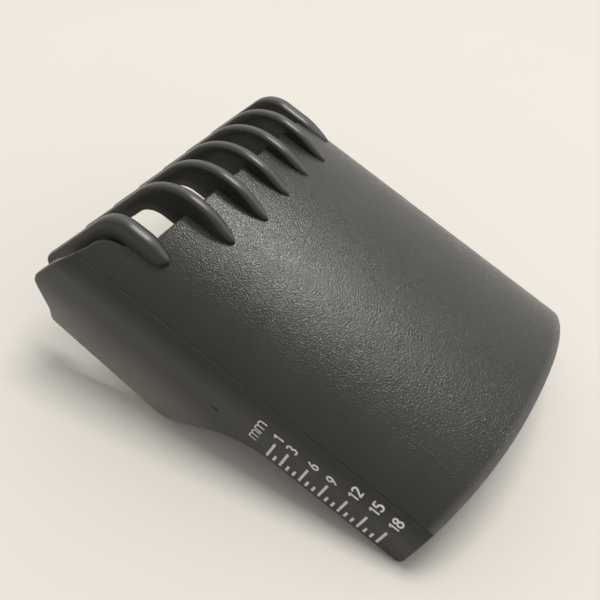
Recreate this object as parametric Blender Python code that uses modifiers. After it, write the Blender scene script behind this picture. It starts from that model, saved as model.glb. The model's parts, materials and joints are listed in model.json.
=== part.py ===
"""Clipper guard comb: a slide-on arched shell with seven fin teeth.

The comb lies in its own frame while it is shaped: X across, Y towards the
teeth, Z up, zero at the straight lower edge under the rear corners.  One empty
then pitches it up until it rests on its rear corners and its two cheeks.
"""
import math

import bmesh
import bpy
from mathutils import Matrix, Vector

# Overall sizes, in metres
HALF_WIDTH = 0.0254          # outside of the side walls, from the middle
FRONT_EDGE = 0.0469          # front edge of the arch in the middle, from the rear
SPRING_HEIGHT = 0.0042       # where the flat walls turn into the arch
ARCH_RISE = 0.0103           # crown above the spring line
WALL = 0.0016                # wall thickness of the shell
GAP = 0.0003                 # clearance between two pieces that touch
PARTING_RISE = 0.0031        # mould line between arch and walls, above the spring

# Rear edge
REAR_BULGE = 0.0022          # how far the rear edge stands out in the middle
REAR_POWER = 2.5             # how flat that bulge is

# Side outline: drops are below the straight lower edge
EDGE_END = FRONT_EDGE - 0.0223       # end of the straight lower edge
EDGE_BLEND = 0.0125                  # radius there
CHEEK_REAR = FRONT_EDGE - 0.0118     # rear lower corner of the cheek
CHEEK_DROP = 0.0095
CHEEK_REAR_RADIUS = 0.0025
CHEEK_TOE = FRONT_EDGE + 0.0074      # front lower corner of the cheek
CHEEK_TOE_DROP = 0.0064
CHEEK_TOE_RADIUS = 0.0008
CHEEK_STEP = FRONT_EDGE + 0.0082     # small step between toe and tip
CHEEK_STEP_DROP = 0.0042
CHEEK_TIP = FRONT_EDGE + 0.0115      # foremost point of the cheek
CHEEK_TIP_DROP = 0.0009
CHEEK_TIP_RADIUS = 0.0013            # also in the step behind the tip
CHEEK_BROW = FRONT_EDGE + 0.0053     # where the front slope reaches the arch
CHEEK_BROW_HEIGHT = 0.0107
ROLL_RADIUS = 0.0055                 # the cheek's foot rolls inwards
ROLL_START = 0.0060
ROLL_ANGLE = math.radians(45)

# Front edge of the arch, between the teeth
FRONT_EDGE_SWEEP = 0.0020            # further forward at a half width
SHOULDER_EDGE = FRONT_EDGE + 0.0021  # end of the arch outside the outer teeth

# Teeth
TOOTH_PITCH = 0.0061                 # between the five middle teeth
OUTER_TOOTH = HALF_WIDTH - 0.0058    # outer teeth from the middle
TOOTH_THICKNESS = 0.0018
OUTER_THICKNESS = 0.0022             # the first and last teeth are stouter
TOOTH_ROUND = 0.0004                 # rounding of a tooth's long edges
TOOTH_CORNER = 0.0007                # rounding of its small corners
TOOTH_DEPTH = 0.0033                 # from the arch down to the inner edge
TOOTH_LIFT = 0.0002                  # start of the back over the arch
TOOTH_FRONT = FRONT_EDGE + 0.0123    # front line, level with the straight edge
TOOTH_SLOPE = 0.4255                 # how far the front line leans per height
TOOTH_WIDTH_FRONT = 0.0027           # front line to inner line, along Y
TOOTH_TIP_DROP = 0.0031              # lowest point of a tooth
NOSE_HEIGHT = 0.0012                 # the nose turns under over this height
NOSE_SETBACK = 0.0014                # lowest point behind the front line
TOOTH_RAMP = 0.38                    # share of the back that climbs from the root
RAMP_RADIUS = 0.0040
INNER_RADIUS = 0.0036                # inside of the bend from back to front
ROOT_TAPER = 0.0040                  # underside of the root
ROOT_RADIUS = 0.0030
# Distance from the middle, thickness, rise over the arch, root behind the front
# edge of the arch, brow radius
TOOTH_SHAPES = {
    "comb_tooth_1": (-OUTER_TOOTH, OUTER_THICKNESS, 0.0012, 0.0015, 0.0050),
    "comb_tooth_2": (-2 * TOOTH_PITCH, TOOTH_THICKNESS, 0.0025, 0.0061, 0.0084),
    "comb_tooth_3": (-TOOTH_PITCH, TOOTH_THICKNESS, 0.0022, 0.0070, 0.0088),
    "comb_tooth_4": (0.0, TOOTH_THICKNESS, 0.0021, 0.0072, 0.0090),
    "comb_tooth_5": (TOOTH_PITCH, TOOTH_THICKNESS, 0.0022, 0.0070, 0.0088),
    "comb_tooth_6": (2 * TOOTH_PITCH, TOOTH_THICKNESS, 0.0025, 0.0061, 0.0084),
    "comb_tooth_7": (OUTER_TOOTH, OUTER_THICKNESS, 0.0012, 0.0015, 0.0050),
}

# Root rib under the arch, behind the teeth
RIB_FRONT_GAP = 0.0010       # from the rib to the longest tooth root
RIB_LENGTH = 0.0022
RIB_DEPTH = 0.0013
RIB_SPAN = math.radians(32)  # from each spring line up to the rib's ends

# Guide rails on the inner sides of the walls, level with the spring line
RAIL_REAR = 0.0030
RAIL_FRONT = FRONT_EDGE - 0.0164
RAIL_HEIGHT = 0.0012
RAIL_PROTRUSION = 0.0024

# Stops in front of the rails, which the clipper's shoulders seat against
STOP_LENGTH = 0.0030
STOP_HEIGHT = 0.0075
STOP_PROTRUSION = 0.0032

# Click arms: flexing tongues along the walls, under the rails
ARM_HINGE = RAIL_FRONT - 0.0065      # root of the tongue
ARM_LENGTH = 0.0180
ARM_THICKNESS = 0.0010
ARM_HEIGHT = 0.0020
ARM_CLEARANCE = 0.0005               # under the rail
ARM_FREE_SPACE = 0.0013              # between the tongue and the wall
ARM_ROOT_LENGTH = 0.0032
ARM_ROUND = 0.00015                  # rounding of the tongue's long edges
NUB_RADIUS = 0.0008
NUB_SETBACK = 0.0018                 # nub from the free end

SMALL_BEVEL = 0.0002
REACH = FRONT_EDGE + 0.015           # how far the cutters reach past the comb
SHEET_REAR = -REAR_BULGE - 0.004     # uncut sheets start behind the rear edge
SHEET_FRONT = CHEEK_TIP + 0.004      # and end in front of the cheeks

parts = None
cutters = None


def clear_scene():
    """Remove everything and make the two collections."""
    global parts, cutters
    for thing in list(bpy.data.objects):
        bpy.data.objects.remove(thing, do_unlink=True)
    parts = bpy.data.collections.new("clipper_guard_comb")
    cutters = bpy.data.collections.new("cutters")
    bpy.context.scene.collection.children.link(parts)
    bpy.context.scene.collection.children.link(cutters)


def plastic(name, colour, roughness):
    """A moulded plastic with one colour and one gloss."""
    material = bpy.data.materials.new(name)
    material.use_nodes = True
    shader = material.node_tree.nodes["Principled BSDF"]
    shader.inputs["Base Color"].default_value = (*colour, 1.0)
    shader.inputs["Roughness"].default_value = roughness
    shader.inputs["Metallic"].default_value = 0.0
    return material


def arch_point(angle, inset=0.0):
    """A point (x, z) of the arch, at an angle up from the right spring line."""
    return ((HALF_WIDTH - inset) * math.cos(angle),
            SPRING_HEIGHT + (ARCH_RISE - inset) * math.sin(angle))


def arch_height(x):
    """Height of the arch's outer face at a distance from the middle."""
    return SPRING_HEIGHT + ARCH_RISE * math.sqrt(1.0 - (x / HALF_WIDTH) ** 2)


def arch_run(angle):
    """Length of outer arch per radian at an angle."""
    return math.hypot(HALF_WIDTH * math.sin(angle), ARCH_RISE * math.cos(angle))


def span(low, high, count):
    """Evenly spaced values from low to high, both ends included."""
    return [low + (high - low) * step / count for step in range(count + 1)]


def corner_arc(corners, index):
    """Start, centre and signed sweep of the arc that rounds one corner."""
    here = Vector(corners[index][:2])
    before = (Vector(corners[index - 1][:2]) - here).normalized()
    after = (Vector(corners[(index + 1) % len(corners)][:2]) - here).normalized()
    radius = corners[index][2]
    half = 0.5 * math.acos(max(-1.0, min(1.0, before.dot(after))))
    if radius <= 0.0 or half > math.radians(89.5):
        return here, here, 0.0
    start = here + before * (radius / math.tan(half))
    middle = here + (before + after).normalized() * (radius / math.sin(half))
    sweep = math.copysign(math.pi - 2.0 * half, before.y * after.x - before.x * after.y)
    return start, middle, sweep


def rounded(corners, steps=5):
    """Outline through corners (a, b, radius), each rounded by its own arc."""
    outline = []
    for index in range(len(corners)):
        start, middle, sweep = corner_arc(corners, index)
        if sweep == 0.0:
            outline.append(start)
            continue
        for angle in span(0.0, sweep, steps):
            outline.append(middle + Matrix.Rotation(angle, 2) @ (start - middle))
    return outline


def flat_outline(name, outline, half_thickness, rounding=0.0):
    """A flat closed curve, filled on both sides and given its thickness."""
    curve = bpy.data.curves.new(name, "CURVE")
    curve.dimensions = "2D"
    curve.fill_mode = "BOTH"
    curve.extrude = half_thickness - rounding
    curve.bevel_depth = rounding
    curve.bevel_resolution = 1
    curve.offset = -rounding
    spline = curve.splines.new("POLY")
    spline.points.add(len(outline) - 1)
    for point, (a, b) in zip(spline.points, outline):
        point.co = (a, b, 0.0, 1.0)
    spline.use_cyclic_u = True
    return bpy.data.objects.new(name, curve)


def stand_on_side(thing, x=0.0):
    """Turn a flat outline drawn in XY so that it lies in the YZ plane at x."""
    thing.rotation_euler = (math.radians(90), 0.0, math.radians(90))
    thing.location = (x, 0.0, 0.0)


def made_mesh(thing):
    """Swap a curve object for a welded mesh object in the same place."""
    bpy.context.scene.collection.objects.link(thing)
    bpy.context.view_layer.update()
    graph = bpy.context.evaluated_depsgraph_get()
    mesh = bpy.data.meshes.new_from_object(thing.evaluated_get(graph))
    solid = bpy.data.objects.new(thing.name, mesh)
    solid.matrix_world = thing.matrix_world.copy()
    name = thing.name
    bpy.data.objects.remove(thing, do_unlink=True)
    solid.name = name
    welded = bmesh.new()
    welded.from_mesh(mesh)
    bmesh.ops.remove_doubles(welded, verts=welded.verts, dist=1e-6)
    bmesh.ops.recalc_face_normals(welded, faces=welded.faces)
    welded.to_mesh(mesh)
    welded.free()
    return solid


def cutter(thing):
    """Keep a solid only as a guide for Boolean cuts."""
    cutters.objects.link(thing)
    thing.hide_render = True
    thing.display_type = "WIRE"
    return thing


def apply_cut(thing, tool, operation):
    """Add one Boolean cut to a piece."""
    boolean = thing.modifiers.new(tool.name, "BOOLEAN")
    boolean.object = tool
    boolean.operation = operation
    boolean.solver = "EXACT"


def finish_piece(thing, material, frame):
    """Put a piece in the comb's collection, give it its finish and its parent."""
    parts.objects.link(thing)
    thing.data.materials.clear()
    thing.data.materials.append(material)
    thing.parent = frame
    if thing.type == "MESH":
        thing.data.shade_smooth()
        thing.data.set_sharp_from_angle(angle=math.radians(32))
    return thing


def arched_sheet(name, section, rear, front, thickness):
    """A section line carried from rear to front, thickened inwards."""
    sheet = bmesh.new()
    line = [sheet.verts.new((x, rear, z)) for x, z in section]
    edges = [sheet.edges.new(pair) for pair in zip(line, line[1:])]
    swept = bmesh.ops.extrude_edge_only(sheet, edges=edges)["geom"]
    moved = [item for item in swept if isinstance(item, bmesh.types.BMVert)]
    bmesh.ops.translate(sheet, verts=moved, vec=(0.0, front - rear, 0.0))
    sheet.normal_update()
    core = Vector((0.0, 0.5 * (rear + front), 0.0))
    for face in sheet.faces:
        if face.normal.dot(face.calc_center_median() - core) < 0.0:
            face.normal_flip()
    mesh = bpy.data.meshes.new(name)
    sheet.to_mesh(mesh)
    sheet.free()
    shell = bpy.data.objects.new(name, mesh)
    wall = shell.modifiers.new("wall", "SOLIDIFY")
    wall.thickness = thickness
    wall.offset = -1.0
    wall.use_even_offset = True
    return shell


def block(name, low, high, bevel=SMALL_BEVEL):
    """A box between two corners with softened edges."""
    low, high = Vector(low), Vector(high)
    solid = bmesh.new()
    bmesh.ops.create_cube(solid, size=1.0)
    bmesh.ops.scale(solid, verts=solid.verts, vec=high - low)
    mesh = bpy.data.meshes.new(name)
    solid.to_mesh(mesh)
    solid.free()
    box = bpy.data.objects.new(name, mesh)
    box.location = (low + high) / 2.0
    edges = box.modifiers.new("soft_edges", "BEVEL")
    edges.width = bevel
    edges.segments = 2
    return box


def rear_line(x):
    """The rear edge seen from above."""
    return -REAR_BULGE * (1.0 - (abs(x) / HALF_WIDTH) ** REAR_POWER)


def front_line(x):
    """The arch's front edge between the teeth, seen from above."""
    return FRONT_EDGE + FRONT_EDGE_SWEEP * (x / HALF_WIDTH) ** 2


# Corners (y, z, radius) of the comb's outline as seen from the side
SIDE_OUTLINE = [
    (-REACH, 0.0, 0.0),
    (EDGE_END, 0.0, EDGE_BLEND),
    (CHEEK_REAR, -CHEEK_DROP, CHEEK_REAR_RADIUS),
    (CHEEK_TOE, -CHEEK_TOE_DROP, CHEEK_TOE_RADIUS),
    (CHEEK_STEP, -CHEEK_STEP_DROP, CHEEK_TIP_RADIUS),
    (CHEEK_TIP, -CHEEK_TIP_DROP, CHEEK_TIP_RADIUS),
    (CHEEK_BROW, CHEEK_BROW_HEIGHT, 0.0),
    (CHEEK_BROW, REACH, 0.0),
    (-REACH, REACH, 0.0),
]
CHEEK_CORNER = 2             # index of the cheek's rear lower corner


def side_region():
    """Everything inside the comb's outline as seen from the side."""
    thing = flat_outline("side_region", rounded(SIDE_OUTLINE, 6), REACH)
    stand_on_side(thing)
    return cutter(made_mesh(thing))


def plan_region(name, front_points):
    """Everything in front of the rear edge and behind the given front points."""
    edge = HALF_WIDTH + WALL
    rear = [(x, rear_line(min(abs(x), HALF_WIDTH))) for x in span(-edge, edge, 28)]
    thing = flat_outline(name, rear + front_points, REACH)
    return cutter(made_mesh(thing))


def parting_angle(side_of_line):
    """Angle of the mould line on the arch, half a gap to one side of it."""
    angle = math.asin(PARTING_RISE / ARCH_RISE)
    return angle + side_of_line * 0.5 * GAP / arch_run(angle)


def outer_tooth_face():
    """Outer face of the first and last teeth, with its clearance."""
    return OUTER_TOOTH + OUTER_THICKNESS / 2.0 + GAP


def tooth_slot(name, shape):
    """The room that a tooth's root takes in the arch."""
    x, thickness, _, root_depth, _ = shape
    rear = FRONT_EDGE - root_depth - GAP
    half = thickness / 2.0 + GAP
    corners = [(x - half, rear, TOOTH_CORNER), (x + half, rear, TOOTH_CORNER),
               (x + half, 2.0 * REACH, 0.0), (x - half, 2.0 * REACH, 0.0)]
    return cutter(made_mesh(flat_outline(name, rounded(corners, 4), REACH)))


def back_shell(slots, material, frame):
    """The arched back, with a slot for every tooth's root."""
    start = parting_angle(1.0)
    section = [arch_point(angle) for angle in span(start, math.pi - start, 45)]
    shell = arched_sheet("back_shell", section, SHEET_REAR, SHEET_FRONT, WALL)
    face = outer_tooth_face()
    edge = HALF_WIDTH + WALL
    shoulder = SHOULDER_EDGE - GAP / 2.0
    inner = OUTER_TOOTH - OUTER_THICKNESS / 2.0
    front = [(edge, shoulder), (face - GAP, shoulder)]
    front += [(x, front_line(x)) for x in span(inner, -inner, 22)]
    front += [(GAP - face, shoulder), (-edge, shoulder)]
    apply_cut(shell, plan_region("arch_plan", front), "INTERSECT")
    for slot in slots:
        apply_cut(shell, slot, "DIFFERENCE")
    finish_piece(shell, material, frame)


def wall_section(side):
    """Section of one side wall, from the mould line down to the rolled foot."""
    bottom = [(HALF_WIDTH - ROLL_RADIUS * (1.0 - math.cos(angle)),
               -ROLL_START - ROLL_RADIUS * math.sin(angle))
              for angle in span(0.0, ROLL_ANGLE, 5)]
    top = [arch_point(angle) for angle in span(parting_angle(-1.0), 0.0, 6)]
    return [(side * x, z) for x, z in top + bottom]


def side_wall(name, side, region, plan, material, frame):
    """One side wall with its straight rear edge and its deeper cheek."""
    wall = arched_sheet(name, wall_section(side), SHEET_REAR, SHEET_FRONT, WALL)
    apply_cut(wall, region, "INTERSECT")
    apply_cut(wall, plan, "INTERSECT")
    finish_piece(wall, material, frame)


def upper_cheek(name, side, region, slot, material, frame):
    """The corner of the arch between the cheek and the outer tooth."""
    highest = math.acos(OUTER_TOOTH / HALF_WIDTH)
    section = [arch_point(angle) for angle in span(parting_angle(1.0), highest, 7)]
    section = [(side * x, z) for x, z in section]
    rear = SHOULDER_EDGE + GAP / 2.0
    cheek = arched_sheet(name, section, rear, SHEET_FRONT, WALL)
    apply_cut(cheek, region, "INTERSECT")
    apply_cut(cheek, slot, "DIFFERENCE")
    finish_piece(cheek, material, frame)


def tooth(name, shape, material, frame):
    """One fin: root in its slot, back over the arch, slim nose in front."""
    x, thickness, rise, root_depth, brow_radius = shape
    root = FRONT_EDGE - root_depth
    arch = arch_height(x)
    top = arch + rise
    inner = arch - TOOTH_DEPTH
    tip = -TOOTH_TIP_DROP
    nose = tip + NOSE_HEIGHT

    def front(height):
        return TOOTH_FRONT - TOOTH_SLOPE * height

    corners = [
        (root, arch - WALL, TOOTH_CORNER),
        (root, arch + TOOTH_LIFT, TOOTH_CORNER),
        (root + TOOTH_RAMP * (front(top) - root), top, RAMP_RADIUS),
        (front(top), top, brow_radius),
        (front(nose), nose, NOSE_HEIGHT),
        (front(tip) - NOSE_SETBACK, tip, TOOTH_CORNER),
        (front(nose) - TOOTH_WIDTH_FRONT, nose, TOOTH_CORNER),
        (front(inner) - TOOTH_WIDTH_FRONT, inner, INNER_RADIUS),
        (root + ROOT_TAPER, inner, ROOT_RADIUS),
    ]
    fin = flat_outline(name, rounded(corners, 4), thickness / 2.0, TOOTH_ROUND)
    stand_on_side(fin, x)
    finish_piece(fin, material, frame)


def root_rib(material, frame):
    """An arched rib under the shell that carries the teeth's roots."""
    front = FRONT_EDGE - max(shape[3] for shape in TOOTH_SHAPES.values()) - RIB_FRONT_GAP
    inset = WALL + GAP
    section = [arch_point(angle, inset) for angle in span(RIB_SPAN, math.pi - RIB_SPAN, 26)]
    rib = arched_sheet("tooth_root_rib", section, front - RIB_LENGTH, front, RIB_DEPTH)
    finish_piece(rib, material, frame)


def wall_block(name, side, protrusion, rear, front, bottom, top):
    """A block standing on the inner face of one side wall."""
    outer = HALF_WIDTH - WALL - GAP
    inner = HALF_WIDTH - WALL - protrusion
    low = (min(side * inner, side * outer), rear, bottom)
    high = (max(side * inner, side * outer), front, top)
    return block(name, low, high)


def arm_top():
    """Upper side of the click arms and of their roots, clear of the rails."""
    return SPRING_HEIGHT - RAIL_HEIGHT - ARM_CLEARANCE


def click_arm(name, side, material, frame):
    """A flexing tongue with a half-round nub near its free end."""
    outer = HALF_WIDTH - WALL - ARM_FREE_SPACE
    middle = outer - ARM_THICKNESS / 2.0
    free_end = -ARM_LENGTH
    nub = free_end + NUB_SETBACK
    half = ARM_THICKNESS / 2.0
    outline = [(half, -GAP / 2.0), (-half, -GAP / 2.0), (-half, nub + NUB_RADIUS)]
    for angle in span(math.radians(90), math.radians(270), 8):
        outline.append((-half + NUB_RADIUS * math.cos(angle),
                        nub + NUB_RADIUS * math.sin(angle)))
    outline += [(-half, free_end), (half, free_end)]
    outline = [(side * a, b) for a, b in outline]
    unique = [point for index, point in enumerate(outline)
              if (Vector(point) - Vector(outline[index - 1])).length > 1e-6]
    arm = flat_outline(name, unique, ARM_HEIGHT / 2.0, ARM_ROUND)
    arm.location = (side * middle, ARM_HINGE, arm_top() - ARM_HEIGHT / 2.0)
    finish_piece(arm, material, frame)


def inner_fittings(side, word, plain, flexing, frame):
    """Rail, stop, tongue root and tongue on the inside of one wall."""
    top = SPRING_HEIGHT
    rail = wall_block("guide_rail_" + word, side, RAIL_PROTRUSION,
                      RAIL_REAR, RAIL_FRONT, top - RAIL_HEIGHT, top)
    finish_piece(rail, plain, frame)
    stop_rear = RAIL_FRONT + GAP
    stop = wall_block("stop_block_" + word, side, STOP_PROTRUSION, stop_rear,
                      stop_rear + STOP_LENGTH, top - STOP_HEIGHT, top)
    finish_piece(stop, plain, frame)
    root_rear = ARM_HINGE + GAP / 2.0
    root = wall_block("arm_root_" + word, side, ARM_FREE_SPACE + ARM_THICKNESS, root_rear,
                      root_rear + ARM_ROOT_LENGTH, arm_top() - ARM_HEIGHT, arm_top())
    finish_piece(root, plain, frame)
    click_arm("click_arm_" + word, side, flexing, frame)


def world_box():
    """Lowest and highest corner of all pieces as they stand in the world."""
    bpy.context.view_layer.update()
    graph = bpy.context.evaluated_depsgraph_get()
    corners = []
    for thing in parts.objects:
        if thing.type not in {"MESH", "CURVE"}:
            continue
        solid = thing.evaluated_get(graph)
        mesh = solid.to_mesh()
        corners += [solid.matrix_world @ vertex.co for vertex in mesh.vertices]
        solid.to_mesh_clear()
    low = Vector([min(corner[axis] for corner in corners) for axis in range(3)])
    high = Vector([max(corner[axis] for corner in corners) for axis in range(3)])
    return low, high


def resting_pitch():
    """Pitch at which the rear corners and the cheeks' rear corners share a floor."""
    rear = Vector((rear_line(HALF_WIDTH - WALL), 0.0))
    cheek = corner_arc(SIDE_OUTLINE, CHEEK_CORNER)[1]
    step = cheek - rear
    return math.atan2(-step.y, step.x) + math.asin(CHEEK_REAR_RADIUS / step.length)


def build():
    """Make every piece, then stand the comb on its resting edges."""
    clear_scene()
    grained = plastic("shell_plastic", (0.062, 0.060, 0.055), 0.55)
    smooth = plastic("wall_plastic", (0.058, 0.057, 0.052), 0.42)
    fins = plastic("tooth_plastic", (0.052, 0.051, 0.046), 0.34)
    inside = plastic("inside_plastic", (0.055, 0.054, 0.050), 0.48)
    flexing = plastic("arm_plastic", (0.050, 0.049, 0.045), 0.40)

    frame = bpy.data.objects.new("comb_frame", None)
    parts.objects.link(frame)

    region = side_region()
    edge = HALF_WIDTH + WALL
    plan = plan_region("wall_plan", [(edge, 2.0 * REACH), (-edge, 2.0 * REACH)])
    slots = [tooth_slot(name + "_slot", shape)
             for name, shape in TOOTH_SHAPES.items()]
    back_shell(slots, grained, frame)
    for side, word, slot in ((-1.0, "left", slots[0]), (1.0, "right", slots[-1])):
        side_wall("side_wall_" + word, side, region, plan, smooth, frame)
        upper_cheek("upper_cheek_" + word, side, region, slot, smooth, frame)
        inner_fittings(side, word, inside, flexing, frame)
    for name, shape in TOOTH_SHAPES.items():
        tooth(name, shape, fins, frame)
    root_rib(inside, frame)
    for tool in cutters.objects:
        tool.parent = frame

    frame.rotation_euler = (resting_pitch(), 0.0, 0.0)
    low, high = world_box()
    frame.location = (0.0, -0.5 * (low.y + high.y), -low.z)
    bpy.context.view_layer.update()


build()
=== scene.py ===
"""Clipper guard comb: the finished look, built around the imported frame.

Every piece is shaped in the comb's own frame, in millimetres: X across, Y from
the rear corners towards the teeth, Z up from the straight lower edge.  stand()
then takes its points to the world, where the comb rests pitched up.
"""

import json
import math

import bpy
import numpy as np
from mathutils import Matrix, Vector


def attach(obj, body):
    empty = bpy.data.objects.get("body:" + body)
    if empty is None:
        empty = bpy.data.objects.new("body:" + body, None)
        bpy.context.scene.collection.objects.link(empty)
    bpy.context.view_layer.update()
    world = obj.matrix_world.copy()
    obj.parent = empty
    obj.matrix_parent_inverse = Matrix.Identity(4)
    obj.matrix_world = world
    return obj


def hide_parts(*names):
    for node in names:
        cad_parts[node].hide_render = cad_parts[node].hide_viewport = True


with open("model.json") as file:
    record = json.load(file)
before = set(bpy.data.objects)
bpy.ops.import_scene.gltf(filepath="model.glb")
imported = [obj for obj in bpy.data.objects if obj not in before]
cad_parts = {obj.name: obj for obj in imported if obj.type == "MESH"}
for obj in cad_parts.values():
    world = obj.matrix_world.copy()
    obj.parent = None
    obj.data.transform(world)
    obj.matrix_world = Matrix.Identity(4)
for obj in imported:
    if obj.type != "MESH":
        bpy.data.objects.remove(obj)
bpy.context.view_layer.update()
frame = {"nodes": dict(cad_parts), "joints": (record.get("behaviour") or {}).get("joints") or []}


# ---------------------------------------------------------------- arched back
# The big shell over the clipper's head: one injection moulding in dark grey
# plastic.  Its outside carries a fine spark-eroded grain down to the mould line,
# where the smooth side walls start.
MM = 0.001
HALF_WIDTH = 25.4            # outside of the walls, from the middle
SPRING = 4.2                 # height where the flat walls turn into the arch
ARCH_RISE = 10.3
WALL = 1.6
MOULD_LINE = 7.3             # height of the line between grain and smooth wall
LINE_GAP = 0.01              # between the mould line and a skin's border, along Y or Z
LINE_ANGLE = 0.0005          # the same gap as an angle of the arch
HAIRLINE = 0.10              # rounding along the mould line, which shows as a fine groove
REAR_BULGE = 2.2
REAR_POWER = 2.5
REAR_ROUNDING = 0.30
BRIDGE_FRONT = 46.9          # front edge between the teeth, in the middle
BRIDGE_SWEEP = 2.0
BRIDGE_ROUNDING = 0.22
SHOULDER_LINE = 49.0         # where the grain stops outside the outer teeth
SHOULDER_ROUNDING = 0.015
OUTER_TOOTH = 19.6           # outer teeth, from the middle
# Painted highlight along the rounded rear edge: its strength and how far it reaches from the edge
RIM_HIGHLIGHT, RIM_HIGHLIGHT_LENGTH = 0.45, 1.3
ARM_PIVOT = (22.0, 24.0, 1.5)  # where the right click arm is rooted
SHARP_ANGLE = math.radians(38)  # edges that turn more than this stay crisp

DARK_GREY = (0.0208, 0.0211, 0.0193, 1.0)
CLOUDY_GREY = (0.0286, 0.0286, 0.0260, 1.0)
# Paler grey that paints highlights and reflected light onto the dark plastic
PAINTED_LIGHT_GREY = (0.225, 0.221, 0.202, 1.0)
SCRATCH_GREY = (0.16, 0.155, 0.14, 1.0)
SPECULAR_LEVEL = 0.43
SMOOTH_ROUGHNESS, GRAIN_ROUGHNESS = 0.33, 0.28
RELIEF = 0.000038            # height of the grain's pebbles, in metres

flex = next(joint for joint in frame["joints"] if joint["name"] == "right_arm_flex")
COMB_ACROSS = np.array([1.0, 0.0, 0.0])
COMB_UP = np.array(flex["axis"], float)
COMB_FORWARD = np.cross(COMB_UP, COMB_ACROSS)
COMB_AXES = np.stack([COMB_ACROSS, COMB_FORWARD, COMB_UP])
COMB_ORIGIN = np.array(flex["pos_m"], float) - MM * np.array(ARM_PIVOT) @ COMB_AXES


def stand(points):
    """From the comb's own frame to the world: the sum of each measure times its direction."""
    return COMB_ORIGIN + MM * np.asarray(points, float) @ COMB_AXES


def place(name, points, faces, material, marks=None):
    """A piece that rides on the comb, from its points in the comb's frame and its faces.

    marks are named numbers, one per point, which the material reads.
    """
    mesh = bpy.data.meshes.new(name)
    mesh.from_pydata(stand(points).tolist(), [], faces)
    for label, values in (marks or {}).items():
        layer = mesh.attributes.new(label, "FLOAT", "POINT")
        layer.data.foreach_set("value", np.asarray(values, np.float32))
    mesh.validate()
    mesh.shade_smooth()
    mesh.set_sharp_from_angle(angle=SHARP_ANGLE)
    mesh.materials.append(material)
    piece = bpy.data.objects.new(name, mesh)
    bpy.context.scene.collection.objects.link(piece)
    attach(piece, "comb")
    return piece


def strip_faces(rows, columns, start=0):
    """Quads between neighbouring points of a grid whose points are numbered row by row."""
    first = start + np.arange(rows - 1)[:, None] * columns + np.arange(columns - 1)[None, :]
    first = first.ravel()
    return np.stack([first, first + columns, first + columns + 1, first + 1], 1)


def unit(vectors):
    """Vectors divided by their own length."""
    return vectors / np.maximum(np.linalg.norm(vectors, axis=-1, keepdims=True), 1e-9)


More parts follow.
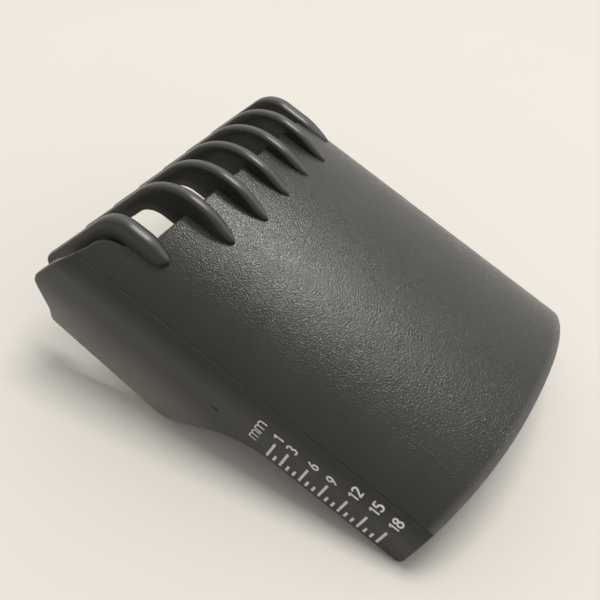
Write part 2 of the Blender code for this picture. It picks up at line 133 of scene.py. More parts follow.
def moulded_sheet(outer, outward, wall, rounding):
    """A closed sheet from a grid of outer points and their outward normals.

    The inner grid lies one wall thickness further in.  Round the edge run rings
    of points: a quarter round, the straight side, another quarter round.  Each
    ring point is the edge point, less the radius outwards, plus the radius times
    sine and cosine.  At a corner the way outwards halves that of its two
    stretches, and its length is limited.  rounding gives the radius on the first
    row, last row, first column and last column, each one number or one per point.
    The grid inside follows its shrunken border with a weight that fades as an
    eighth power.
    Also returns a mark for each point: 1 on the outside, 0 on the inside.
    """
    rows, columns = outer.shape[:2]
    loop_i = np.concatenate([np.zeros(columns - 1), np.arange(rows - 1),
                             np.full(columns - 1, rows - 1), np.arange(rows - 1, 0, -1)])
    loop_j = np.concatenate([np.arange(columns - 1), np.full(rows - 1, columns - 1),
                             np.arange(columns - 1, 0, -1), np.zeros(rows - 1)])
    loop_i, loop_j = loop_i.astype(int), loop_j.astype(int)
    edge, normal = outer[loop_i, loop_j], outward[loop_i, loop_j]
    first_row, last_row = (np.broadcast_to(r, columns) for r in rounding[:2])
    first_column, last_column = (np.broadcast_to(r, rows) for r in rounding[2:])
    radius = np.concatenate([first_row[:-1], last_column[:-1], last_row[:0:-1], first_column[:0:-1]])
    corners = np.array([0, columns - 1, columns + rows - 2, 2 * columns + rows - 3])
    radius[corners] = np.minimum(radius[corners], radius[corners - 1])
    reach = radius[:, None]
    inner_i = np.clip(loop_i, 1, rows - 2)
    inner_j = np.clip(loop_j, 1, columns - 2)
    from_inside = edge - outer[inner_i, inner_j]
    ahead = np.roll(edge, -1, 0) - edge
    behind = edge - np.roll(edge, 1, 0)

    def out_of(direction):
        """Square to a stretch of the edge and to the surface, pointing off the sheet."""
        square = np.cross(direction, normal)
        return unit(square * np.sign((square * from_inside).sum(1, keepdims=True)))

    after, before = out_of(ahead), out_of(behind)
    away = (after + before) / np.maximum(1.0 + (after * before).sum(1, keepdims=True), 0.6)
    inset = edge - away * reach
    turn = np.linspace(0.0, math.pi / 2.0, 5)
    outer_rings = [inset + away * reach * math.sin(a) - normal * reach * (1.0 - math.cos(a))
                   for a in turn[1:]]
    inner_rings = [inset + away * reach * math.cos(a)
                   - normal * (wall - reach + reach * math.sin(a)) for a in turn[:-1]]
    rings = np.stack(outer_rings + inner_rings)

    border = np.zeros_like(outer)
    border[loop_i, loop_j] = inset - edge
    u = np.linspace(0.0, 1.0, columns)[None, :, None]
    v = np.linspace(0.0, 1.0, rows)[:, None, None]
    left, right, low, high = (1.0 - u) ** 8, u ** 8, (1.0 - v) ** 8, v ** 8
    outer = outer + (low * border[:1] + high * border[-1:] + left * border[:, :1] + right * border[:, -1:]
                     - low * left * border[0, 0] - low * right * border[0, -1]
                     - high * left * border[-1, 0] - high * right * border[-1, -1])
    inner = outer - outward * wall
    around = len(edge)
    grid = strip_faces(rows, columns)
    count = rows * columns
    inner_start = count + rings.shape[0] * around
    bands = np.vstack([loop_i * columns + loop_j,
                       count + np.arange(rings.shape[0] * around).reshape(-1, around),
                       inner_start + loop_i * columns + loop_j])
    near, far = bands[:-1], bands[1:]
    side_faces = np.stack([near, np.roll(near, -1, 1), np.roll(far, -1, 1), far], -1).reshape(-1, 4)
    faces = np.concatenate([grid, grid[:, ::-1] + inner_start, side_faces])
    points = np.concatenate([outer.reshape(-1, 3), rings.reshape(-1, 3), inner.reshape(-1, 3)])
    across = np.cross(outer[1, 0] - outer[0, 0], outer[0, 1] - outer[0, 0])
    if across @ outward[0, 0] < 0.0:
        faces = faces[:, ::-1]
    shown = np.zeros(len(points))
    shown[:count + len(turn) * around] = 1.0
    return points, faces, shown


def arch_section(angle):
    """The outside of the arch and its normal: an ellipse whose middle is on the spring line.

    X is the half width times the angle's cosine, Z the rise times its sine.
    """
    point = np.stack([HALF_WIDTH * np.cos(angle), 0.0 * angle, SPRING + ARCH_RISE * np.sin(angle)], -1)
    normal = np.stack([np.cos(angle) / HALF_WIDTH, 0.0 * angle, np.sin(angle) / ARCH_RISE], -1)
    return point, unit(normal)


def run_length(path):
    """How far along the path each of its points lies."""
    return np.concatenate([[0.0], np.cumsum(np.linalg.norm(np.diff(path, axis=0), axis=1))])


def even_angles(low, high, count):
    """Angles that part the arch into stretches of equal length."""
    fine = np.linspace(low, high, 2000)
    point, _ = arch_section(fine)
    length = run_length(point)
    return np.interp(np.linspace(0.0, length[-1], count), length, fine)


def along_arch(section, length_lines, section_normal):
    """A skin's grid: each point of the section repeated along Y, at the places in its line."""
    count = length_lines.shape[1]
    outer = np.repeat(section[:, None, :], count, 1)
    outer[:, :, 1] = length_lines
    return outer, np.repeat(section_normal[:, None, :], count, 1)


def rear_edge(x):
    """How far back the rear edge lies: a bulge, flat on top, that ends at the walls."""
    return -REAR_BULGE * (1.0 - (np.abs(x) / HALF_WIDTH) ** REAR_POWER)


class Finish:
    """A material and the few node recipes that every finish here is mixed from."""

    def __init__(self, name):
        self.material = bpy.data.materials.new(name)
        self.material.use_nodes = True
        self.nodes = self.material.node_tree.nodes
        self.links = self.material.node_tree.links
        self.shader = self.nodes["Principled BSDF"]
        self.place = self.nodes.new("ShaderNodeTexCoord").outputs["Object"]

    def feed(self, source, socket):
        """Set a socket to a number or colour, or link it to another socket."""
        if isinstance(source, (float, tuple)):
            socket.default_value = source
        else:
            self.links.new(source, socket)

    def mark(self, label):
        """One of the named numbers of the mesh's points."""
        node = self.nodes.new("ShaderNodeAttribute")
        node.attribute_name = label
        return node.outputs["Fac"]

    def noise(self, scale, detail, roughness=0.55, source=None):
        """A random pattern with so many swells per metre, and finer ones on them."""
        node = self.nodes.new("ShaderNodeTexNoise")
        node.inputs["Scale"].default_value = scale
        node.inputs["Detail"].default_value = detail
        node.inputs["Roughness"].default_value = roughness
        self.links.new(source or self.place, node.inputs["Vector"])
        return node.outputs["Fac"]

    def ramp(self, source, low, high, low_value, high_value):
        """A straight line from one value to another, flat outside its two ends."""
        node = self.nodes.new("ShaderNodeMapRange")
        node.inputs["From Min"].default_value = low
        node.inputs["From Max"].default_value = high
        node.inputs["To Min"].default_value = low_value
        node.inputs["To Max"].default_value = high_value
        self.links.new(source, node.inputs["Value"])
        return node.outputs["Result"]

    def calculate(self, kind, a, b):
        """A sum, difference, product or the larger of two numbers."""
        node = self.nodes.new("ShaderNodeMath")
        node.operation = kind
        self.feed(a, node.inputs[0])
        self.feed(b, node.inputs[1])
        return node.outputs["Value"]

    def mix(self, factor, a, b):
        """Colour a where the factor is 0, colour b where it is 1."""
        node = self.nodes.new("ShaderNodeMix")
        node.data_type = "RGBA"
        self.feed(factor, node.inputs["Factor"])
        self.feed(a, node.inputs["A"])
        self.feed(b, node.inputs["B"])
        return node.outputs["Result"]

    def relief(self, height, strength, distance):
        """A height pattern on the surface, so many metres high."""
        node = self.nodes.new("ShaderNodeBump")
        node.inputs["Strength"].default_value = strength
        node.inputs["Distance"].default_value = distance
        self.links.new(height, node.inputs["Height"])
        self.links.new(node.outputs["Normal"], self.shader.inputs["Normal"])


def grained_plastic(name):
    """Dark grey plastic: pebbled where the "grain" mark is 1, painted paler where its other mark paints
    highlights and reflected light.
    """
    finish = Finish(name)
    finish.shader.inputs["Specular IOR Level"].default_value = SPECULAR_LEVEL
    finish.shader.inputs["IOR"].default_value = 1.5
    grain, painted_light = finish.mark("grain"), finish.mark("painted_light")

    # Scratches: two families of thin stretched streaks, each turned its own way
    streaks = None
    for turn, thin, threshold in ((0.75, 2600.0, 0.68), (-0.3, 2200.0, 0.70)):
        turned = finish.nodes.new("ShaderNodeMapping")
        turned.inputs["Rotation"].default_value = (0.0, 0.0, turn)
        turned.inputs["Scale"].default_value = (thin, 60.0, 30.0)
        finish.links.new(finish.place, turned.inputs["Vector"])
        fibre = finish.noise(1.0, 1.0, 0.5, turned.outputs["Vector"])
        streak = finish.ramp(fibre, threshold, threshold + 0.08, 0.0, 1.0)
        streaks = streak if streaks is None else finish.calculate("MAXIMUM", streaks, streak)
    patches = finish.ramp(finish.noise(90.0, 2.0), 0.52, 0.66, 0.0, 1.0)
    scratches = finish.calculate("MULTIPLY", streaks, patches)

    # Colour: dark warm grey with slow clouds, a paler grey painted on as highlights and reflected light, pale
    # scratches
    clouds = finish.ramp(finish.noise(55.0, 3.0), 0.3, 0.7, 0.0, 1.0)
    uneven = finish.ramp(finish.noise(700.0, 3.0), 0.3, 0.7, 0.75, 1.0)
    colour = finish.mix(clouds, DARK_GREY, CLOUDY_GREY)
    # Painted light: paler grey wherever the second mark paints a highlight or reflected light
    colour = finish.mix(finish.calculate("MULTIPLY", painted_light, uneven), colour, PAINTED_LIGHT_GREY)
    colour = finish.mix(finish.calculate("MULTIPLY", scratches, 0.10), colour, SCRATCH_GREY)
    finish.feed(colour, finish.shader.inputs["Base Color"])

    # Gloss: a little uneven all over, and the scratches catch the light
    gloss = finish.ramp(grain, 0.0, 1.0, SMOOTH_ROUGHNESS, GRAIN_ROUGHNESS)
    gloss = finish.calculate("SUBTRACT", gloss, finish.calculate("MULTIPLY", scratches, 0.04))
    gloss = finish.calculate("ADD", gloss, finish.ramp(finish.noise(420.0, 2.0), 0.3, 0.7, -0.03, 0.03))
    finish.feed(gloss, finish.shader.inputs["Roughness"])

    # Relief: pebbles under the mark, a faint ripple elsewhere, shallow scratches
    pebbles = finish.ramp(finish.noise(4800.0, 1.5, 0.5), 0.35, 0.68, 0.0, 1.0)
    ripple = finish.calculate("MULTIPLY", finish.noise(900.0, 1.0), 0.03)
    height = finish.calculate("ADD", finish.calculate("MULTIPLY", pebbles, grain), ripple)
    height = finish.calculate("SUBTRACT", height, finish.calculate("MULTIPLY", scratches, 0.015))
    finish.relief(height, 0.6, RELIEF)
    return finish.material


shell_finish = grained_plastic("dark_grey_grained")

mould_angle = math.asin((MOULD_LINE - SPRING) / ARCH_RISE) + LINE_ANGLE
section, section_normal = arch_section(even_angles(mould_angle, math.pi - mould_angle, 150))
across = section[:, 0]
outside_teeth = np.abs(across) > OUTER_TOOTH
front = np.where(outside_teeth, SHOULDER_LINE - LINE_GAP,
                 BRIDGE_FRONT + BRIDGE_SWEEP * (across / HALF_WIDTH) ** 2)
share = np.linspace(0.0, 1.0, 90)
along = rear_edge(across)[:, None] + (front - rear_edge(across))[:, None] * share
outer, normals = along_arch(section, along, section_normal)
front_rounding = np.where(outside_teeth, SHOULDER_ROUNDING, BRIDGE_ROUNDING)
points, faces, shown = moulded_sheet(outer, normals, WALL,
                                     (HAIRLINE, HAIRLINE, REAR_ROUNDING, front_rounding))
# Painted highlight: the rear edge is painted paler, fading over a short reach from the edge
from_rear = points[:, 1] - rear_edge(points[:, 0])
rim_highlight = RIM_HIGHLIGHT * np.clip(1.0 - from_rear / RIM_HIGHLIGHT_LENGTH, 0.0, 1.0)
arched_back = place("arched_back", points, faces.tolist(), shell_finish, {"grain": shown, "painted_light": rim_highlight})
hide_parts("back_shell")


# ----------------------------------------------------------------- side walls
# The two flat walls below the mould line: smooth satin plastic, straight along
# the scale, then dropping in an S to a deep cheek whose foot rolls inwards.
# Moulded in one with the back.
ROLL_START = 4.2             # below this height the wall curves in
ROLL_RATE = 0.0092
EDGE_END = 24.6              # end of the straight lower edge
CHEEK_REAR, CHEEK_DROP = 35.1, 9.5
CHEEK_TOE, CHEEK_TOE_DROP = 54.5, 6.9
CHEEK_STEP, CHEEK_STEP_DROP = 55.2, 4.7
CHEEK_TIP, CHEEK_TIP_DROP = 58.4, 0.9
TIP_OVERSHOOT = 0.1          # the rounded corner's point lies this far past the tip
SLOPE_START = 2.0            # height where the cheek's front slope begins
SLOPE_LEAN = 0.5345          # how far the front slope leans back per height
SLOPE_BULGE = 0.65
SLOPE_MIDDLE, SLOPE_REACH = 4.9, 4.95
TOP_UNDER_TOE = 0.95         # share of the mould line that faces the edge up to the toe
WALL_COLUMNS, WALL_ROWS = 190, 40
FOOT_ROUNDING, SLOPE_ROUNDING = 0.28, 0.40
TABLE_REFLECTION_TOP = 1.0               # from this height down to its foot the cheek is painted paler, as painted reflected light of the table
TABLE_REFLECTION_REAR, TABLE_REFLECTION_FADE = 35.0, 0.22  # and less and less behind this line


def rounded_path(corners, spacing=0.25):
    """A path through corners (a, b, radius): straight stretches joined by arcs.

    Each arc touches both neighbouring stretches; its centre lies on the line
    that halves the corner.  Open at both ends.
    """
    path = [np.array([corners[0][:2]], float)]
    for before, here, after in zip(corners, corners[1:], corners[2:]):
        middle, radius = np.array(here[:2], float), here[2]
        back = unit(np.array(before[:2]) - middle)
        ahead = unit(np.array(after[:2]) - middle)
        half = 0.5 * math.acos(np.clip(back @ ahead, -1.0, 1.0))
        centre = middle + unit(back + ahead) * radius / math.sin(half)
        spoke = middle + back * radius / math.tan(half) - centre
        sweep = math.copysign(math.pi - 2.0 * half, back[1] * ahead[0] - back[0] * ahead[1])
        turn = np.linspace(0.0, sweep, max(3, int(abs(sweep) * radius / spacing) + 2))
        path.append(centre + np.stack([spoke[0] * np.cos(turn) - spoke[1] * np.sin(turn),
                                       spoke[0] * np.sin(turn) + spoke[1] * np.cos(turn)], 1))
    path.append(np.array([corners[-1][:2]], float))
    return np.concatenate(path)


def resample(path, count, start=0.0, end=1.0):
    """Points evenly spaced by length along a path, from one share of it to another."""
    length = run_length(path)
    stations = np.linspace(start, end, count) * length[-1]
    return np.stack([np.interp(stations, length, path[:, k]) for k in range(path.shape[1])], 1)


def nearest(path, corner):
    """Number of the path's point nearest to a corner."""
    return int(np.argmin(np.hypot(*(path - corner).T)))


def arch_share(height):
    """How far up the arch a height lies, from 0 at the spring line to 1 at the crown."""
    return np.clip((height - SPRING) / ARCH_RISE, 0.0, 1.0)


def wall_section(height):
    """Outside of a wall and its normal: the ellipse's foot, the flat, and a curl inwards.

    X is the half width times the root of one less the arch share squared, less
    the roll rate times the square of the depth below the roll's start.
    """
    up = arch_share(height)
    down = np.maximum(ROLL_START - height, 0.0)
    x = HALF_WIDTH * np.sqrt(1.0 - up ** 2) - ROLL_RATE * down ** 2
    lean_up = up * HALF_WIDTH / (ARCH_RISE * np.sqrt(1.0 - up ** 2))
    lean_down = -2.0 * ROLL_RATE * down
    return x, unit(np.stack([np.ones_like(height), np.zeros_like(height), lean_up + lean_down], -1))


def slope_front(height):
    """The cheek's front edge: a leaning line that bulges forwards as a parabola."""
    leaning = CHEEK_TIP - SLOPE_LEAN * (height + CHEEK_TIP_DROP)
    bulge = 1.0 - ((height - SLOPE_MIDDLE) / SLOPE_REACH) ** 2
    return leaning + SLOPE_BULGE * np.maximum(bulge, 0.0)


def spanned(top, bottom, rear, front):
    """A grid between four border lines: each pair is blended, less the blended corners."""
    u = np.linspace(0.0, 1.0, len(top))[None, :, None]
    v = np.linspace(0.0, 1.0, len(rear))[:, None, None]
    corners = ((1.0 - u) * (1.0 - v) * top[0] + u * (1.0 - v) * top[-1]
               + (1.0 - u) * v * bottom[0] + u * v * bottom[-1])
    return (1.0 - v) * top + v * bottom + (1.0 - u) * rear[:, None] + u * front[:, None] - corners


# The wall's outline from its rear corner along the lower edge to the slope's top
below_line = MOULD_LINE - LINE_GAP
slope_heights = np.linspace(SLOPE_START, below_line, 30)
outline = rounded_path([(0.0, 4.0, 0.0), (0.0, 0.0, 0.8), (EDGE_END, 0.0, 12.5),
                        (CHEEK_REAR, -CHEEK_DROP, 2.5), (CHEEK_TOE, -CHEEK_TOE_DROP, 0.8),
                        (CHEEK_STEP, -CHEEK_STEP_DROP, 1.6),
                        (CHEEK_TIP + TIP_OVERSHOOT, -CHEEK_TIP_DROP, 1.9),
                        (slope_front(SLOPE_START), SLOPE_START, 0.0)])[1:-1]
outline = np.concatenate([outline, np.stack([slope_front(slope_heights), slope_heights], 1)])
tip_index = nearest(outline, (CHEEK_TIP, -CHEEK_TIP_DROP))
lower_edge = resample(outline[:tip_index + 1], WALL_COLUMNS)
slope_line = resample(outline[tip_index:][::-1], WALL_ROWS)
rear_heights = np.linspace(below_line, lower_edge[0, 1], WALL_ROWS)
rear_x = HALF_WIDTH * np.sqrt(1.0 - arch_share(rear_heights) ** 2)
rear_line = np.stack([rear_edge(rear_x), rear_heights], 1)
toe_share = nearest(lower_edge, (CHEEK_TOE, -CHEEK_TOE_DROP)) / (WALL_COLUMNS - 1)
top_share = np.interp(np.linspace(0.0, 1.0, WALL_COLUMNS), [0.0, toe_share, 1.0], [0.0, TOP_UNDER_TOE, 1.0])
top_line = np.stack([rear_line[0, 0] + (slope_line[0, 0] - rear_line[0, 0]) * top_share,
                     np.full(WALL_COLUMNS, below_line)], 1)
wall_grid = spanned(top_line, lower_edge, rear_line, slope_line)
wall_x, wall_normal = wall_section(wall_grid[:, :, 1])
wall_points = np.concatenate([wall_x[:, :, None], wall_grid], 2)

for side, word in ((-1.0, "left"), (1.0, "right")):
    mirror = np.array([side, 1.0, 1.0])
    points, faces, shown = moulded_sheet(wall_points * mirror, wall_normal * mirror, WALL,
                                         (HAIRLINE, FOOT_ROUNDING, REAR_ROUNDING, SLOPE_ROUNDING))
    # Painted reflected light of the pale table: paler towards the cheek's foot, and less behind its rear
    height = points[:, 2] + TABLE_REFLECTION_FADE * np.maximum(TABLE_REFLECTION_REAR - points[:, 1], 0.0)
    painted_light = np.clip((TABLE_REFLECTION_TOP - height) / CHEEK_DROP, 0.0, 1.0) ** 1.2 * shown
    wall = place("side_wall_skin_" + word, points, faces.tolist(), shell_finish,
                 {"grain": 0.0 * shown, "painted_light": painted_light})
    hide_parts("side_wall_" + word)


# --------------------------------------------------------------- upper cheeks
# The two smooth corners of the arch between the outer teeth and the cheeks.
# A second fine mould line parts them from the grain; their front edge is
# rounded over generously.
CORNER_START = 8.6           # height where the front slope starts to turn over
CORNER_MIDDLE = 50.2
CORNER_LENGTH, CORNER_HEIGHT = 3.4, 1.5
UNDER_TOOTH = 0.3            # how far a cheek reaches under its outer tooth

cheek_angles = even_angles(mould_angle, math.acos((OUTER_TOOTH - UNDER_TOOTH) / HALF_WIDTH), 30)
section, section_normal = arch_section(cheek_angles)
height = section[:, 2]
over = np.clip((height - CORNER_START) / CORNER_HEIGHT, 0.0, 1.0)
corner = CORNER_MIDDLE + CORNER_LENGTH * np.sqrt(1.0 - over ** 2)
front = np.where(height < CORNER_START, slope_front(height), corner)
share = np.linspace(0.0, 1.0, 16)
along = SHOULDER_LINE + LINE_GAP + (front[:, None] - SHOULDER_LINE) * share
cheek_grid, cheek_normal = along_arch(section, along, section_normal)
for side, word in ((-1.0, "left"), (1.0, "right")):
    mirror = np.array([side, 1.0, 1.0])
    points, faces, shown = moulded_sheet(cheek_grid * mirror, cheek_normal * mirror, WALL,
                                         (HAIRLINE, 0.02, SHOULDER_ROUNDING, SLOPE_ROUNDING))
    cheek = place("upper_cheek_skin_" + word, points, faces.tolist(), shell_finish, {"grain": 0.0 * shown})
    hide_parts("upper_cheek_" + word)


# ---------------------------------------------------------------------- teeth
# Seven fins that lift the hair and slide it over the skin.  Each grows out of
# the arch from a pointed root, runs over the brow and down to a slim nose, with
# a rounded crest.  Smooth, half-glossy plastic, moulded in one with the shell.
TOOTH_PITCH = 6.1
TOOTH_HALF = 0.9             # half thickness of the five middle teeth
OUTER_HALF = 1.1
TOOTH_DEPTH = 3.3            # inner edge under the arch
TOOTH_FRONT = 59.2           # front line, level with the straight lower edge
TOOTH_SLOPE = 0.4255
TOOTH_WIDTH_FRONT = 2.7
TOOTH_TIP = -3.1
NOSE_HEIGHT = 1.2
NOSE_SETBACK = 1.4
CREST_DEPTH = 0.42           # how deep the rounded crest is
BELLY_DEPTH = 0.45           # and the rounding of the inner edge
# strength of the painted highlight along each crest
CREST_HIGHLIGHT = 0.30
SLIMMING = 0.10              # share of its thickness that a tooth loses towards the nose
# Number, place across, half thickness, rise over the arch, root along Y, brow
# radius, heel over the arch, length of the pointed root, share of the back that
# climbs, radius where the climb ends
TOOTH_SHAPES = (
    (1, -OUTER_TOOTH, OUTER_HALF, 2.0, 44.6, 5.0, 0.9, 2.0, 0.33, 6.0),
    (2, -2.0 * TOOTH_PITCH, TOOTH_HALF, 2.3, 40.3, 8.0, 0.5, 3.0, 0.38, 10.0),
    (3, -TOOTH_PITCH, TOOTH_HALF, 2.1, 39.3, 8.8, 0.4, 3.2, 0.38, 10.0),
    (4, 0.0, TOOTH_HALF, 1.7, 39.5, 9.0, 0.2, 4.2, 0.38, 10.0),
    (5, TOOTH_PITCH, TOOTH_HALF, 1.5, 39.9, 8.8, 0.2, 4.2, 0.38, 10.0),
    (6, 2.0 * TOOTH_PITCH, TOOTH_HALF, 1.8, 40.0, 8.4, 0.2, 4.2, 0.38, 10.0),
    (7, OUTER_TOOTH, OUTER_HALF, 1.0, 42.4, 5.0, 0.2, 4.2, 0.38, 10.0),
)


def front_line(z):
    """Where the teeth's straight front line lies at a height."""
    return TOOTH_FRONT - TOOTH_SLOPE * z


def tooth_lines(x, rise, root, brow, heel, ramp, bend):
    """The tooth from the side: its outer and inner line from root to nose, each with its bend."""
    arch = SPRING + ARCH_RISE * math.sqrt(1.0 - (x / HALF_WIDTH) ** 2)
    top, inner = arch + rise, arch - TOOTH_DEPTH
    nose = TOOTH_TIP + NOSE_HEIGHT
    brow_corner = (front_line(top), top)
    inner_corner = (front_line(inner) - TOOTH_WIDTH_FRONT, inner)
    crest = rounded_path([(root, arch - 1.2, 0.0), (root, arch + heel, 0.6),
                          (root + ramp * (front_line(top) - root), top, bend),
                          (*brow_corner, brow), (front_line(nose), nose, 1.1),
                          (front_line(TOOTH_TIP) - NOSE_SETBACK, TOOTH_TIP, 0.0)])
    belly = rounded_path([(root, arch - WALL, 0.0), (root + 4.0, inner, 3.0), (*inner_corner, 3.6),
                          (front_line(nose) - TOOTH_WIDTH_FRONT, nose, 0.8),
                          (front_line(TOOTH_TIP) - NOSE_SETBACK - 0.1, TOOTH_TIP, 0.0)])
    return crest, belly, brow_corner, inner_corner


def two_stretches(path, corner, counts=(70, 60), end=0.995):
    """A path resampled apart before and after its point nearest to a corner.

    It stops just short of the path's end.
    """
    length = run_length(path)
    split = length[nearest(path, corner)] / length[-1]
    return np.concatenate([resample(path, counts[0], 0.0, split)[:-1], resample(path, counts[1], split, end)])


def ring_faces(rings, around):
    """Quads between closed rings of points, numbered ring by ring."""
    row = np.arange(rings - 1)[:, None] * around
    first = (row + np.arange(around)).ravel()
    beside = (row + (np.arange(around) + 1) % around).ravel()
    return np.stack([first, beside, beside + around, first + around], 1)


def comb_tooth(name, x, half, rise, root, brow, heel, point, ramp, bend):
    """A tooth: at each station from root to nose a closed ring spans the two lines.

    The ring is a half ellipse over the crest, two flat sides and a half ellipse
    under the belly.  Its half thickness grows along Y as a quarter ellipse from
    the pointed root, and shrinks as a square towards the nose.
    """
    crest, belly, brow_corner, inner_corner = tooth_lines(x, rise, root, brow, heel, ramp, bend)
    outer, inner = two_stretches(crest, brow_corner), two_stretches(belly, inner_corner)
    span = np.linalg.norm(inner - outer, axis=1)[:, None]
    crest_depth = np.minimum(CREST_DEPTH, 0.48 * span)
    belly_depth = np.minimum(BELLY_DEPTH, 0.48 * span)
    crest_turn = np.linspace(0.0, math.pi / 2.0, 9)
    belly_turn = np.linspace(math.pi / 2.0, 0.0, 7)
    down = np.concatenate([crest_depth * (1.0 - np.cos(crest_turn)),
                           crest_depth + (span - crest_depth - belly_depth) * np.array([[0.33, 0.67]]),
                           span - belly_depth * (1.0 - np.cos(belly_turn))], 1)
    out = np.concatenate([np.sin(crest_turn), [1.0, 1.0], np.sin(belly_turn)])
    down = np.concatenate([down, down[:, -2:0:-1]], 1)
    out = np.concatenate([out, -out[-2:0:-1]])
    yz = outer[:, None, :] + ((inner - outer) / span)[:, None, :] * down[:, :, None]
    back = np.clip((root + point - yz[:, :, 0]) / point, 0.0, 0.995)
    slim = 1.0 - SLIMMING * np.linspace(0.0, 1.0, len(outer))[:, None] ** 2
    thickness = half * np.sqrt(1.0 - back ** 2) * slim
    points = np.concatenate([(x + thickness * out)[:, :, None], yz], 2)
    rings, around = points.shape[:2]
    faces = ring_faces(rings, around).tolist()
    faces.append(list(range(around))[::-1])
    faces.append(list(range((rings - 1) * around, rings * around)))

    # Painted highlight along the middle of the crest, from just past the root to the brow
    ridge = np.zeros(around)
    ridge[:9] = np.clip(1.0 - np.sin(crest_turn) / 0.55, 0.0, 1.0)
    ridge[-8:] = ridge[8:0:-1]
    wear_and_sheen = np.interp(np.linspace(0.0, 1.0, rings), [0.0, 0.08, 0.45, 0.62], [0.0, 1.0, 1.0, 0.2])
    painted_light = (CREST_HIGHLIGHT * wear_and_sheen[:, None] * ridge).ravel()
    return place(name, points.reshape(-1, 3), faces, shell_finish, {"grain": 0.0 * painted_light, "painted_light": painted_light})


for number, *sizes in TOOTH_SHAPES:
    tooth = comb_tooth(f"tooth_{number}", *sizes)
    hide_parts(f"comb_tooth_{number}")


# ------------------------------------------------------------ inside fittings
# Rib, guide rails, stops and click arms inside the shell.  Plain moulded
# plastic; the arms flex on their roots and click into the clipper's notches.
for node, piece in frame["nodes"].items():
    if piece.hide_render:
        continue
    piece.data.materials.clear()
    piece.data.materials.append(shell_finish)
    piece.data.shade_smooth()
    piece.data.set_sharp_from_angle(angle=math.radians(30))


# -------------------------------------------------------------- printed scale
# A millimetre scale pad-printed in off-white ink on the left wall: a tick for
# each millimetre, longer ones where a number stands, and the unit.
INK_LIFT = 0.012             # the ink's top over the wall
INK_DEPTH = 0.03
INK_ROUNDING = 0.005
INK_SPACING = 0.09           # between the points of a stroke
TICK_FOOT = 0.7
TICK_WIDTH = 0.36
LONG_TICK, SHORT_TICK = 2.97, 1.1
TICK_COUNT = 18
FIRST_TICK = 21.0            # tick 1 from the rear corner
DIGIT_HEIGHT = 1.5
DIGIT_STROKE = 0.25
UNIT_STROKE = 0.18
# Each numbered tick, and its numeral's middle along Y and Z
NUMBERED = {1: (21.1, 4.9), 3: (19.0, 4.8), 6: (15.9, 4.9), 9: (13.0, 4.9),
            12: (9.9, 5.5), 15: (6.9, 5.7), 18: (3.9, 5.6)}
UNIT_PLACE = (23.7, 3.6)
THIN_INK = (0.36, 0.36, 0.33, 1.0)
FULL_INK = (0.66, 0.66, 0.62, 1.0)


def bow(centre, radii, start, end, count=14):
    """Points of an ellipse's bow between two angles in degrees."""
    turn = np.radians(np.linspace(start, end, count))
    return np.stack([centre[0] + radii[0] * np.cos(turn), centre[1] + radii[1] * np.sin(turn)], 1)


def line(*corners):
    """A stroke of straight stretches."""
    return np.array(corners, float)


# Advance and strokes of each character; a digit is one unit tall
SIX = [bow((0.23, 0.27), (0.20, 0.25), 0, 366, 26), line((0.03, 0.33), (0.12, 0.60), (0.32, 0.97))]
M_BOWS = [np.concatenate([bow((middle, 0.52), (0.26, 0.24), 180, 0, 10), line((middle + 0.26, 0.0))])
          for middle in (0.26, 0.78)]
GLYPHS = {
    "1": (0.56, [line((0.05, 0.74), (0.27, 0.96)), line((0.28, 0.97), (0.28, 0.02))]),
    "2": (0.62, [np.concatenate([bow((0.23, 0.74), (0.20, 0.23), 165, -35), line((0.04, 0.04))]),
                 line((0.0, 0.04), (0.46, 0.04))]),
    "3": (0.62, [bow((0.21, 0.75), (0.19, 0.22), 150, -90), bow((0.21, 0.27), (0.22, 0.25), 90, -150)]),
    "5": (0.62, [line((0.42, 0.96), (0.10, 0.96), (0.08, 0.55)), bow((0.21, 0.30), (0.22, 0.28), 128, -150)]),
    "6": (0.62, SIX),
    "8": (0.62, [bow((0.23, 0.75), (0.17, 0.21), 0, 366, 24), bow((0.23, 0.27), (0.21, 0.25), 0, 366, 26)]),
    "9": (0.62, [np.array([0.46, 1.0]) - stroke for stroke in SIX]),
    "m": (1.30, [line((0.0, 0.78), (0.0, 0.0)), *M_BOWS]),
}


def ink_stroke(path, width):
    """A ribbon of ink on the left wall along a path of (y, z) points.

    Three rows: the path and its two sides, half a width away along the halved
    corner's normal.  Every point takes its X from the wall's own section.
    """
    path = resample(path, max(4, int(run_length(path)[-1] / INK_SPACING) + 2))
    ahead = unit(np.gradient(path, axis=0))
    square = np.stack([-ahead[:, 1], ahead[:, 0]], 1) * width / 2.0
    rows = np.stack([path - square, path, path + square])
    x, normal = wall_section(rows[:, :, 1])
    normal = normal * np.array([-1.0, 1.0, 1.0])
    outer = np.concatenate([-x[:, :, None], rows], 2) + normal * INK_LIFT
    return moulded_sheet(outer, normal, INK_DEPTH, (INK_ROUNDING,) * 4)


def write(text, centre, stroke):
    """Glyph strokes of a word; it reads upwards along Z and its tops point to +Y."""
    small = text == "mm"
    tall, last_gap = (0.78, 0.26) if small else (1.0, 0.16)
    pen = -0.5 * (sum(GLYPHS[letter][0] for letter in text) - last_gap)
    ribbons = []
    for letter in text:
        advance, strokes = GLYPHS[letter]
        for path in strokes:
            placed = np.stack([centre[0] + DIGIT_HEIGHT * (path[:, 1] - 0.5 * tall),
                               centre[1] + DIGIT_HEIGHT * (path[:, 0] + pen)], 1)
            ribbons.append(ink_stroke(placed, stroke))
        pen += advance
    return ribbons


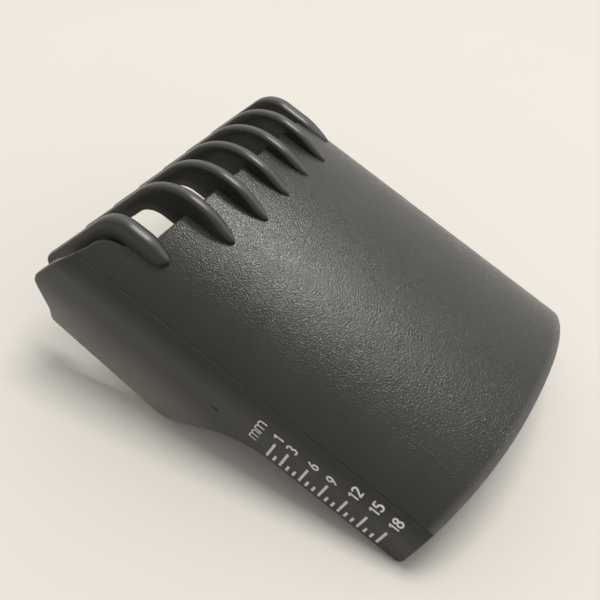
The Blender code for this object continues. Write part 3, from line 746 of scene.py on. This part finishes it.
def printing_ink(name):
    """Off-white pad-printing ink, slightly thin and speckled where it has worn."""
    finish = Finish(name)
    finish.shader.inputs["Roughness"].default_value = 0.5
    speckle = finish.noise(5000.0, 3.0, 0.5)
    wear_and_sheen = finish.ramp(speckle, 0.30, 0.52, 0.0, 1.0)
    finish.feed(finish.mix(wear_and_sheen, THIN_INK, FULL_INK), finish.shader.inputs["Base Color"])
    finish.relief(speckle, 0.2, 0.00001)
    return finish.material


def tick(number):
    """A tick that stands over the wall's lower edge, a millimetre behind the one before it."""
    y = FIRST_TICK + 1.0 - number
    tall = LONG_TICK if number in NUMBERED else SHORT_TICK
    return ink_stroke(line((y, TICK_FOOT), (y, TICK_FOOT + tall)), TICK_WIDTH)


ink_finish = printing_ink("off_white_ink")
ticks = [tick(number) for number in range(1, TICK_COUNT + 1)]
numerals = []
for number, centre in NUMBERED.items():
    numerals += write(str(number), centre, DIGIT_STROKE)
unit_letters = write("mm", UNIT_PLACE, UNIT_STROKE)
for name, ribbons in (("scale_ticks", ticks), ("scale_numerals", numerals), ("scale_unit", unit_letters)):
    points = np.concatenate([ribbon[0] for ribbon in ribbons])
    starts = np.cumsum([0] + [len(ribbon[0]) for ribbon in ribbons[:-1]])
    faces = np.concatenate([ribbon[1] + start for ribbon, start in zip(ribbons, starts)])
    place(name, points, faces.tolist(), ink_finish)


# ------------------------------------------------------------------ small mark
# A tiny raised oval on the left wall beside the scale.  It is left by the
# mould, of the same smooth plastic as the wall.
MARK_PLACE = (29.5, 1.4)
MARK_RADII = (0.62, 0.40)
MARK_RISE = 0.14
MARK_DEPTH = 0.05            # its foot is sunk this far into the wall
MARK_FOOT = 0.55             # and is narrower, as a share of the radii

# A dome over a slightly uneven oval: rings whose radius falls as a cosine while
# the rise grows as a sine
turn = np.linspace(0.0, 2.0 * math.pi, 41)[:-1]
level = np.linspace(0.0, math.pi / 2.0, 9)[1:-1]
uneven = 1.0 + 0.08 * np.sin(3.0 * turn + 0.6) + 0.05 * np.sin(5.0 * turn)
reach = np.concatenate([[MARK_FOOT], np.cos(level), [0.02]])[:, None] * uneven
lift = np.concatenate([[-MARK_DEPTH], MARK_RISE * np.sin(level), [MARK_RISE]])[:, None] + 0.0 * turn
mark_y = MARK_PLACE[0] + MARK_RADII[0] * reach * np.cos(turn)
mark_z = MARK_PLACE[1] + MARK_RADII[1] * reach * np.sin(turn)
mark_x, _ = wall_section(mark_z)
points = np.stack([-(mark_x + lift), mark_y, mark_z], -1)
rings, around = points.shape[:2]
faces = ring_faces(rings, around)[:, [0, 3, 2, 1]].tolist()
faces.append(list(range(around)))
faces.append(list(range((rings - 1) * around, rings * around))[::-1])
place("mould_mark", points.reshape(-1, 3), faces, shell_finish, {"grain": np.zeros(rings * around)})


# ----------------------------------------------------- floor, light and camera
# A plain pale table.  A small lamp shines on the arch, a soft light overhead
# lights the table, and a large pale window stands on the right.  The camera
# looks down on the comb from its left side.
TABLE_SIZE = 4.0
TABLE_TINTS = (0.635, 0.613, 0.572, 1.0), (0.657, 0.634, 0.592, 1.0)
CAMERA_PLACE = (-90.606, 22.086, 92.65)  # in the comb's frame, as the next two
CAMERA_RIGHT = (0.475237, -0.787903, 0.391610)
CAMERA_LOOK = (0.697897, 0.066516, -0.713103)


def pale_table():
    """A pale, slightly warm table top with the faintest mottling."""
    bpy.ops.mesh.primitive_plane_add(size=TABLE_SIZE)
    table = bpy.context.object
    table.name = "table_top"
    finish = Finish("pale_table")
    finish.shader.inputs["Roughness"].default_value = 0.7
    finish.shader.inputs["Specular IOR Level"].default_value = 0.15
    mottle = finish.noise(14.0, 2.0, 0.5)
    finish.feed(finish.mix(mottle, *TABLE_TINTS), finish.shader.inputs["Base Color"])
    table.data.materials.append(finish.material)


def soft_light(name, direction, distance, size, power, colour, lights_surface=True, shines=True):
    """An area light from a direction: it may light only, or only show as a shine."""
    lamp = bpy.data.lights.new(name, "AREA")
    lamp.shape = "RECTANGLE"
    lamp.size, lamp.size_y = size
    lamp.energy = power
    lamp.color = colour
    light = bpy.data.objects.new(name, lamp)
    light.location = Vector(direction).normalized() * distance
    light.visible_diffuse = lights_surface
    light.visible_glossy = shines
    light.rotation_mode = "QUATERNION"
    light.rotation_quaternion = (-light.location).to_track_quat("-Z", "Y")
    bpy.context.scene.collection.objects.link(light)


pale_table()
soft_light("lamp", (0.43, -0.03, 0.90), 0.9, (0.21, 0.21), 4.0, (1.0, 0.97, 0.92), lights_surface=False)
soft_light("overhead", (0.13, 0.0, 0.99), 1.0, (0.45, 0.45), 7.2, (1.0, 0.97, 0.93), shines=False)
soft_light("right_window", (0.85, 0.25, 0.55), 1.2, (1.4, 0.9), 1.0, (1.0, 0.98, 0.95))

# Studio surround: a little brighter on the right than on the left
world = bpy.data.worlds.new("studio")
world.use_nodes = True
surround = world.node_tree
direction = surround.nodes.new("ShaderNodeTexCoord")
parts = surround.nodes.new("ShaderNodeSeparateXYZ")
strength = surround.nodes.new("ShaderNodeMapRange")
strength.inputs["From Min"].default_value = -0.8
strength.inputs["From Max"].default_value = 0.9
strength.inputs["To Min"].default_value = 0.44
strength.inputs["To Max"].default_value = 0.86
surround.links.new(direction.outputs["Generated"], parts.inputs["Vector"])
surround.links.new(parts.outputs["X"], strength.inputs["Value"])
surround.links.new(strength.outputs["Result"], surround.nodes["Background"].inputs["Strength"])
surround.nodes["Background"].inputs["Color"].default_value = (1.0, 0.985, 0.95, 1.0)
bpy.context.scene.world = world
bpy.context.scene.view_settings.view_transform = "Standard"

camera_right = np.array(CAMERA_RIGHT) @ COMB_AXES
camera_back = -np.array(CAMERA_LOOK) @ COMB_AXES
camera_up = np.cross(camera_back, camera_right)
lens = bpy.data.cameras.new("camera")
lens.sensor_width = 36.0
lens.lens = 54.05
lens.clip_start, lens.clip_end = 0.005, 10.0
camera = bpy.data.objects.new("camera", lens)
camera.matrix_world = Matrix([[*row] for row in np.stack([camera_right, camera_up, camera_back], 1)]).to_4x4()
camera.location = Vector(stand(CAMERA_PLACE))
bpy.context.scene.collection.objects.link(camera)
bpy.context.scene.camera = camera
